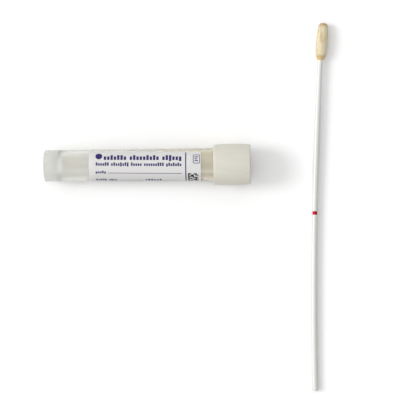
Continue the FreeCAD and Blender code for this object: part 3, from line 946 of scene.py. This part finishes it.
class SWABTUBE_OT_label_print(bpy.types.Operator):
    """Print the label: plain bars for its headings, writing rules, a divider, a frame and a block of squares"""

    bl_idname = "swab_tube.label_print"
    bl_label = "Label print"

    # First and last height, angle of the middle, height in degrees, and blocks in each word
    ROWS = (
        (25.2, 57.4, 153.6, 19.0, (7, 9, 6)),
        (21.9, 57.4, 178.0, 12.0, (6, 8, 5, 9, 7)),
        (21.8, 26.0, 206.8, 10.0, (5,)),
        (21.8, 30.5, 243.5, 11.0, (5, 4)),
        (42.3, 49.0, 243.5, 11.0, (6,)),
    )
    # First and last height, and the angles of both edges
    RULES = (
        (26.9, 57.6, 209.6, 211.6), (31.7, 41.4, 247.1, 248.7), (49.3, 56.8, 247.1, 248.7),
        (58.97, 59.43, 131.5, 251.5),
    )
    # Height and angle of the disc's middle, and its radius
    DISC_Z, DISC_TURN, DISC_RADIUS = 23.1, 149.0, 1.42
    # The frame, as a rule is given, the rounding of its corners and the width of its line
    FRAME, FRAME_CORNER, FRAME_LINE = (62.2, 65.1, 141.5, 174.5), 0.5, 0.27
    # Where the bars in the frame begin, the degrees that each is wide, and each one's angle and length
    BARS_LOW, BAR_WIDTH, BARS = 62.85, 3.4, ((149.0, 1.5), (156.0, 1.1), (163.0, 1.5))
    # First corner of the block of squares, a cell's length and degrees, how many there are each way, and the
    # share of a cell that its square fills
    CODE_LOW, CODE_START, CODE_CELL, CODE_TURN = 60.1, 209.4, 0.61, 5.15
    CODE_COLUMNS, CODE_ROWS, CODE_FILL = 7, 8, 0.98

    def execute(self, context):
        look = context.scene.label_look
        thickness = look.ink_thickness / MM
        chance = random.Random(PRINT_SEED)
        bm = bmesh.new()
        for row in self.ROWS:
            ink_words(bm, *row, chance)
        for rule in self.RULES:
            ink_block(bm, *rule)
        disc = Matrix.Translation((self.DISC_Z, self.DISC_TURN * FILM_DEGREE, 0))
        bmesh.ops.create_circle(bm, cap_ends=True, segments=32, radius=self.DISC_RADIUS, matrix=disc)
        inside = ink_block(bm, *self.FRAME, self.FRAME_CORNER)
        bmesh.ops.inset_region(
            bm, faces=inside, thickness=self.FRAME_LINE, use_boundary=True, use_even_offset=True)
        bmesh.ops.delete(bm, geom=inside, context="FACES")
        for angle, length in self.BARS:
            ink_block(bm, self.BARS_LOW, self.BARS_LOW + length, angle, angle + self.BAR_WIDTH)
        placed(laid_on_film(bm, thickness), "label_print_violet", TUBE_LAID, "tube_and_swab",
               [printing_ink("printing_ink_violet", look.ink)])
        bm = bmesh.new()
        long, wide = self.CODE_CELL * self.CODE_FILL, self.CODE_TURN * self.CODE_FILL
        for row in range(self.CODE_ROWS):
            filled = [0, *chance.sample(range(1, self.CODE_COLUMNS), 3 + row % 2)]
            for column in sorted(filled):
                low, start = self.CODE_LOW + column * self.CODE_CELL, self.CODE_START + row * self.CODE_TURN
                ink_block(bm, low, low + long, start, start + wide)
        placed(laid_on_film(bm, thickness), "label_print_black", TUBE_LAID, "tube_and_swab",
               [printing_ink("printing_ink_black", look.code_ink)])
        return {"FINISHED"}


class SWABTUBE_OT_liquid(bpy.types.Operator):
    """Fill the low side of the bore with its level pool of medium"""

    bl_idname = "swab_tube.liquid"
    bl_label = "Liquid medium"

    def execute(self, context):
        bore = bore_outline(LIQUID_FILM)
        dam = TUBE_LENGTH - LIQUID_FILM
        bm = turned([(0, dam), (bore[0][0], dam)] + bore[1:], LIQUID_FACETS)
        bmesh.ops.transform(bm, matrix=TUBE_LAID, verts=bm.verts)
        bmesh.ops.scale(bm, vec=(1 / MM,) * 3, verts=bm.verts)
        lip = TUBE_LAID @ Vector((BORE_MOUTH_RADIUS, 0, TUBE_LENGTH))
        climb = context.scene.liquid_look.meniscus / MM
        level = lip.z / MM + LIQUID_DEPTH_AT_MOUTH
        cut = bmesh.ops.bisect_plane(
            bm, geom=bm.verts[:] + bm.edges[:] + bm.faces[:], plane_co=(0, 0, level + climb), plane_no=(0, 0, 1),
            clear_outer=True)
        rim = [edge for edge in cut["geom_cut"] if isinstance(edge, bmesh.types.BMEdge)]
        surface = bmesh.ops.contextual_create(bm, geom=rim)["faces"]
        for width, share in MENISCUS_STEPS:
            bmesh.ops.inset_region(
                bm, faces=surface, thickness=width, depth=-climb * share, use_boundary=True,
                use_even_offset=False)
        bmesh.ops.recalc_face_normals(bm, faces=bm.faces)
        placed(bm, "liquid_pool", Matrix.Scale(MM, 4), "tube_and_swab", [liquid_medium()],
               ["liquid_medium"])
        return {"FINISHED"}


def cap_side(height):
    """The radius of the cap's side, which swells a little between its rim and its top."""
    half = (CAP_TOP_Z - CAP_RIM_Z) / 2
    sweep = (half**2 + CAP_BULGE**2) / (2 * CAP_BULGE)
    off = height - CAP_RIM_Z - half
    return CAP_END_RADIUS + CAP_BULGE - sweep + math.sqrt(sweep**2 - off**2)


class SWABTUBE_OT_cap(bpy.types.Operator):
    """Build the ribbed screw cap, with its thread and the socket that grips a swab's shaft"""

    bl_idname = "swab_tube.cap"
    bl_label = "Cap"

    def execute(self, context):
        look = context.scene.cap_look
        socket_z, grip_z = ROOF_Z - SOCKET_LENGTH, ROOF_Z - SOCKET_GRIP_LENGTH
        low, high = CAP_RIM_Z + CAP_RIM_BAND, CAP_TOP_Z - CAP_TOP_BAND
        heights = [CAP_RIM_Z, *spaced(low, high, CAP_SIDE_SPANS), CAP_TOP_Z]
        side = [(cap_side(height), height) for height in heights]
        outline = [
            (0, ROOF_Z), (SOCKET_GRIP_RADIUS, ROOF_Z), (SOCKET_GRIP_RADIUS, grip_z),
            (SOCKET_MOUTH_RADIUS, socket_z), (SOCKET_MOUTH_RADIUS + SOCKET_WALL, socket_z),
            (SOCKET_ROOT_RADIUS, ROOF_Z), (CAP_BORE_RADIUS, ROOF_Z),
            (CAP_BORE_RADIUS, CAP_RIM_Z + CAP_LEAD_IN_LENGTH), (CAP_BORE_RADIUS + CAP_LEAD_IN, CAP_RIM_Z),
        ] + side + [(0, CAP_TOP_Z)]
        facets = RIB_FACETS * look.ribs
        bm = turned(outline, facets)
        rounded(bm, side[-1], CAP_TOP_ROUND, segments=6)
        rounded(bm, side[0], CAP_RIM_ROUND)
        for corner in ((SOCKET_MOUTH_RADIUS, socket_z), (SOCKET_MOUTH_RADIUS + SOCKET_WALL, socket_z)):
            rounded(bm, corner, SOFT_ROUND, segments=2)
        grooves = []
        for face in bm.faces:
            middle = face.calc_center_median()
            facet = math.floor(math.atan2(middle.y, middle.x) / FULL_TURN * facets) % RIB_FACETS
            outside = middle.xy.length > CAP_BORE_RADIUS + CAP_WALL / 2
            if facet < GROOVE_FACETS and low < middle.z < high and outside:
                grooves.append(face)
        bmesh.ops.inset_region(
            bm, faces=grooves, thickness=GROOVE_SLOPE, depth=-look.rib_depth / MM, use_boundary=True,
            use_even_offset=True)
        below_tube_thread = (THREAD_FOOT_WIDTH + THREAD_CREST_WIDTH) / 2 + THREAD_AXIAL_PLAY
        bm = united(bm, thread_ridge(CAP_BORE_RADIUS, -THREAD_DEPTH, THREAD_START_Z - below_tube_thread))
        placed(bm, "screw_cap", TUBE_LAID, "turning_cap", [satin_polypropylene()], ["cap"])
        return {"FINISHED"}


class SWABTUBE_OT_seal(bpy.types.Operator):
    """Finish the part's own seal ring as soft elastomer"""

    bl_idname = "swab_tube.seal"
    bl_label = "Seal ring"

    def execute(self, context):
        frame["nodes"]["seal_ring"].material_slots[0].material = sealing_elastomer()
        return {"FINISHED"}


def eased(station, low, low_radius, high, high_radius):
    """The radius between two stations, level with the axis at both of them."""
    share = (1 - math.cos(math.pi * (station - low) / (high - low))) / 2
    return low_radius + (high_radius - low_radius) * share


def shaft_radius(station):
    """The shaft's radius at a length from the end of the tip, without its notch."""
    if station < SHAFT_WAIST:
        return eased(station, TIP_LENGTH, SHAFT_TIP_RADIUS, SHAFT_WAIST, SHAFT_WAIST_RADIUS)
    if station < BREAK_POINT:
        return eased(station, SHAFT_WAIST, SHAFT_WAIST_RADIUS, BREAK_POINT, SHAFT_BREAK_RADIUS)
    share = (station - BREAK_POINT) / (SWAB_LENGTH - BREAK_POINT)
    return SHAFT_BREAK_RADIUS + (SHAFT_END_RADIUS - SHAFT_BREAK_RADIUS) * share


def bowed(bm):
    """Bend a straight piece of the swab to the shaft's bow, ring by ring. The tip moves as one, and leans."""
    tip = [vert for vert in bm.verts if vert.co.z < TIP_LENGTH - 0.01]
    bmesh.ops.rotate(
        bm, verts=tip, cent=(0, 0, TIP_LENGTH), matrix=Matrix.Rotation(-math.radians(TIP_LEAN), 3, "Y"))
    moved_as_one = set(tip)
    rings = {}
    for vert in bm.verts:
        station = TIP_LENGTH if vert in moved_as_one else round(vert.co.z, 4)
        rings.setdefault(station, []).append(vert)
    for station, verts in rings.items():
        bend = (station - BOW_STATION) / BOW_RADIUS
        aside, along = BOW_RADIUS * (1 - math.cos(bend)), BOW_STATION + BOW_RADIUS * math.sin(bend)
        bmesh.ops.rotate(bm, verts=verts, cent=(0, 0, station), matrix=Matrix.Rotation(bend, 3, "Y"))
        bmesh.ops.translate(bm, verts=verts, vec=(aside, 0, along - station))
    return bm


class SWABTUBE_OT_shaft(bpy.types.Operator):
    """Build the swab's bowed shaft and the red ring in its notch"""

    bl_idname = "swab_tube.shaft"
    bl_label = "Swab shaft"

    def execute(self, context):
        neck = SHAFT_BREAK_RADIUS - BREAK_NOTCH
        below, above = BREAK_POINT - BREAK_WIDTH / 2, BREAK_POINT + BREAK_WIDTH / 2
        slender = spaced(TIP_LENGTH, below - BREAK_NOTCH, SHAFT_SPANS)
        handle = spaced(above + BREAK_NOTCH, SWAB_LENGTH, SHAFT_SPANS)
        outline = [(0, CORE_START), (CORE_RADIUS, CORE_START), (CORE_RADIUS, TIP_LENGTH)]
        outline += [(shaft_radius(s), s) for s in slender] + [(neck, below), (neck, above)]
        outline += [(shaft_radius(s), s) for s in handle] + [(0, SWAB_LENGTH)]
        bm = turned(outline, SHAFT_FACETS)
        rounded(bm, (SHAFT_END_RADIUS, SWAB_LENGTH), SHAFT_END_ROUND)
        placed(
            bowed(bm), "swab_rod", SWAB_LAID, "tube_and_swab", [gloss_polystyrene()],
            ["swab_shaft"])
        # The ink fills the notch's floor and climbs its far side
        buried, inked = neck - MARK_BURIED, neck + MARK_THICKNESS
        ring = [
            (buried, below), (inked, below), (inked, above), (inked + MARK_CLIMB, above + MARK_CLIMB),
            (buried, above + MARK_CLIMB),
        ]
        bm = turned(ring, SHAFT_FACETS, closed=True)
        placed(bowed(bm), "break_mark", SWAB_LAID, "tube_and_swab", [pad_ink()])
        return {"FINISHED"}


def tip_outline():
    """The flocked tip's outside as (radius, length) places from its nose to its shoulder."""
    flat, round_off = TIP_NOSE_RADIUS - TIP_NOSE_ROUND, TIP_NOSE_ROUND
    turns = [math.radians(turn) for turn in spaced(-90, 0, TIP_NOSE_SPANS)[:-1]]
    nose = [(flat + round_off * math.cos(t), round_off + round_off * math.sin(t)) for t in turns]
    shoulder = (TIP_SHOULDER_RADIUS, TIP_LENGTH - TIP_BASE_TAPER)
    side = arc_through(
        (TIP_NOSE_RADIUS, TIP_NOSE_ROUND), (TIP_RADIUS, TIP_WIDEST), shoulder, TIP_SIDE_SPANS)
    # The taper swells a little between the shoulder and the base
    taper = [(TIP_SHOULDER_RADIUS - 0.25, TIP_LENGTH - 1.0), (TIP_BASE_RADIUS + 0.2, TIP_LENGTH - 0.3)]
    return nose + side + taper


def fibres(outside, count, longest, chance):
    """Skins of fibres that stand on a turned outside, as closely at its nose as on its side."""
    bands = list(zip(outside, outside[1:]))
    areas = [(low[0] + high[0]) * math.dist(low, high) for low, high in bands]
    parts = []
    for index, (low, high) in enumerate(chance.choices(bands, areas, k=count)):
        if index % FIBRES_A_SKIN == 0:
            parts.append(bmesh.new())
        radius, height = Vector(low).lerp(Vector(high), chance.random())
        angle = chance.uniform(0, FULL_TURN)
        out = Vector((math.cos(angle), math.sin(angle), 0))
        normal = (out * (high[1] - low[1]) - UP * (high[0] - low[0])).normalized()
        lean = Vector([chance.uniform(-FIBRE_LEAN, FIBRE_LEAN) for _ in range(3)])
        point = (normal + lean).normalized()
        length = longest * chance.uniform(FIBRE_SHORTEST, 1.0)
        end = out * radius + UP * height - normal * chance.uniform(0, FIBRE_SUNK)
        turn = UP.rotation_difference(point).to_matrix().to_4x4()
        bmesh.ops.create_cone(
            parts[-1], segments=3, radius1=FIBRE_FOOT_RADIUS, radius2=FIBRE_POINT_RADIUS, depth=length,
            matrix=Matrix.Translation(end - point * length / 2) @ turn)
    return parts


def lumpy(bm, radius, height, lumps_a_mm, nose=0.0):
    """Raise uneven lumps on a turned skin, beyond a radius or nearer the nose than a length."""
    for vert in bm.verts:
        if vert.co.xy.length > radius or vert.co.z < nose:
            vert.co += vert.normal * height * noise.noise(vert.co * lumps_a_mm)


class SWABTUBE_OT_tip(bpy.types.Operator):
    """Build the flocked tip with its fibres, and the glue that shows at its base"""

    bl_idname = "swab_tube.tip"
    bl_label = "Swab tip"

    def execute(self, context):
        look = context.scene.swab_look
        outside = tip_outline()
        bore, bore_end, end = CORE_RADIUS + BOND_GAP, CORE_START - BOND_GAP, TIP_LENGTH - PILE_END
        skin = [(0, PILE)]
        skin += [(max(r - PILE, 0.1), z + PILE * max(0, 1 - z / TIP_NOSE_ROUND)) for r, z in outside[:-1]]
        skin += [(TIP_BASE_RADIUS, end), (bore, end), (bore, bore_end), (0, bore_end)]
        bm = turned(skin, TIP_FACETS)
        lumpy(bm, bore + 0.3, PILE_LUMP, PILE_LUMPS_A_MM, nose=1.0)
        chance = random.Random(FIBRE_SEED)
        parts = [bm] + fibres(outside, look.fibres, look.fibre_length / MM, chance)
        placed(
            bowed(gathered(parts)), "flocked_tip", SWAB_LAID, "tube_and_swab", [nylon_flock()],
            ["swab_tip"])
        # The collar starts inside the flock, comes out at its base and thins out up the shaft
        start, thin, under = TIP_LENGTH - GLUE_INSIDE, SHAFT_TIP_RADIUS + GLUE_FILM, TIP_LENGTH - TIP_BASE_GAP
        collar = [
            (bore, start), (TIP_BASE_RADIUS + 0.3, start), (TIP_BASE_RADIUS + 0.2, start + 0.4),
            (TIP_BASE_RADIUS, TIP_LENGTH), (thin + 0.1, TIP_LENGTH + GLUE_CLIMB - 0.1),
            (thin, TIP_LENGTH + GLUE_CLIMB), (thin, under), (bore, under),
        ]
        bm = turned(collar, GLUE_FACETS, closed=True)
        lumpy(bm, SHAFT_TIP_RADIUS + 0.2, GLUE_LUMP, GLUE_LUMPS_A_MM)
        placed(bowed(bm), "glue_collar", SWAB_LAID, "tube_and_swab", [cured_glue()])
        return {"FINISHED"}


def far_light(name, share, width, height, bearing):
    """Light the table from one direction, with this share of the light that a level surface gets."""
    lamp = bpy.data.lights.new(name, "SUN")
    lamp.angle = width
    lamp.energy = share * math.pi / math.sin(height)
    across = math.cos(height)
    towards = Vector((across * math.cos(bearing), across * math.sin(bearing), math.sin(height)))
    linked(name, lamp).rotation_euler = towards.to_track_quat("Z", "Y").to_euler()


def lit_room(world, look):
    """Light a world evenly, show its background white, and show a white card in shiny surfaces alone."""
    world.use_nodes = True
    tree = world.node_tree
    tree.nodes.clear()
    path, seen = background_rays(tree)
    level = add(tree, "ShaderNodeMapRange", {"Value": seen, "To Min": look.fill, "To Max": 1.0}, "Result")
    way = add(tree, "ShaderNodeTexCoord", output="Generated")
    card_way = (0.0, -math.cos(look.card_height), math.sin(look.card_height))
    towards_card = add(tree, "ShaderNodeVectorMath", {
        "Vector": way, "Vector_001": card_way}, "Value", operation="DOT_PRODUCT")
    card = add(tree, "ShaderNodeMapRange", {
        "Value": towards_card, "From Min": math.cos(look.card_width / 2 + CARD_SOFT_EDGE),
        "From Max": math.cos(look.card_width / 2 - CARD_SOFT_EDGE), "To Max": look.card - 1.0}, "Result",
        interpolation_type="SMOOTHSTEP")
    level = add(tree, "ShaderNodeMath", {
        "Value": path.outputs["Is Glossy Ray"], "Value_001": card, "Value_002": level}, "Value",
        operation="MULTIPLY_ADD")
    light = add(tree, "ShaderNodeBackground", {"Color": solid((1.0, 1.0, 1.0)), "Strength": level}, "Background")
    add(tree, "ShaderNodeOutputWorld", {"Surface": light})


class SWABTUBE_OT_stage(bpy.types.Operator):
    """Set up the white table, the low lamp, the softbox, the reflector, the room's light, the white card and the
    camera"""

    bl_idname = "swab_tube.stage"
    bl_label = "Stage"

    def execute(self, context):
        scene, look = context.scene, context.scene.stage_look
        bm = bmesh.new()
        bmesh.ops.create_grid(bm, x_segments=8, y_segments=8, size=TABLE_HALF)
        table = as_object(bm, "table")
        table.data.materials.append(table_sweep())

        scene.world = scene.world or bpy.data.worlds.new("room")
        lit_room(scene.world, look)
        far_light("low_lamp", look.lamp, look.lamp_width, look.lamp_height, look.lamp_bearing)
        far_light("softbox", look.softbox, look.softbox_width, look.softbox_height, look.softbox_bearing)
        far_light(
            "reflector", look.reflector, look.reflector_width, look.reflector_height, look.reflector_bearing)

        lens = bpy.data.cameras.new("camera")
        lens.sensor_width, lens.lens = SENSOR_WIDTH, LENS
        lens.clip_start, lens.clip_end = CAMERA_CLIP
        camera = linked("camera", lens)
        camera.location = (CAMERA_X, CAMERA_Y, look.camera_height)
        camera.rotation_euler = (0.0, 0.0, CAMERA_TURN)
        scene.camera = camera
        scene.view_settings.view_transform = "Standard"
        return {"FINISHED"}


class SWABTUBE_PT_panel(bpy.types.Panel):
    """Lists the pieces, their sizes and their colours"""

    bl_idname = "SWABTUBE_PT_panel"
    bl_label = "Swab Tube"
    bl_space_type = "VIEW_3D"
    bl_region_type = "UI"
    bl_category = "Swab Tube"

    def draw(self, context):
        for operators, look in PANEL_ROWS:
            box = self.layout.box()
            for operator in operators:
                box.operator(operator.bl_idname)
            settings = getattr(context.scene, look)
            for name in settings.__annotations__:
                box.prop(settings, name)


PANEL_ROWS = (
    ((SWABTUBE_OT_tube,), "tube_look"),
    ((SWABTUBE_OT_label, SWABTUBE_OT_label_print), "label_look"),
    ((SWABTUBE_OT_liquid,), "liquid_look"),
    ((SWABTUBE_OT_cap, SWABTUBE_OT_seal), "cap_look"),
    ((SWABTUBE_OT_shaft, SWABTUBE_OT_tip), "swab_look"),
    ((SWABTUBE_OT_stage,), "stage_look"),
)
LOOKS = {
    "tube_look": TubeLook,
    "label_look": LabelLook,
    "liquid_look": LiquidLook,
    "cap_look": CapLook,
    "swab_look": SwabLook,
    "stage_look": StageLook,
}
OPERATORS = [operator for operators, _ in PANEL_ROWS for operator in operators]


def register():
    for cls in [*LOOKS.values(), *OPERATORS, SWABTUBE_PT_panel]:
        bpy.utils.register_class(cls)
    for name, cls in LOOKS.items():
        setattr(bpy.types.Scene, name, PointerProperty(type=cls))


def unregister():
    for name in LOOKS:
        delattr(bpy.types.Scene, name)
    for cls in reversed([*LOOKS.values(), *OPERATORS, SWABTUBE_PT_panel]):
        bpy.utils.unregister_class(cls)


def main():
    register()
    for build in (
        bpy.ops.swab_tube.stage, bpy.ops.swab_tube.tube, bpy.ops.swab_tube.label, bpy.ops.swab_tube.label_print,
        bpy.ops.swab_tube.liquid, bpy.ops.swab_tube.cap, bpy.ops.swab_tube.seal, bpy.ops.swab_tube.shaft,
        bpy.ops.swab_tube.tip,
    ):
        build()


if __name__ == "__main__":
    main()
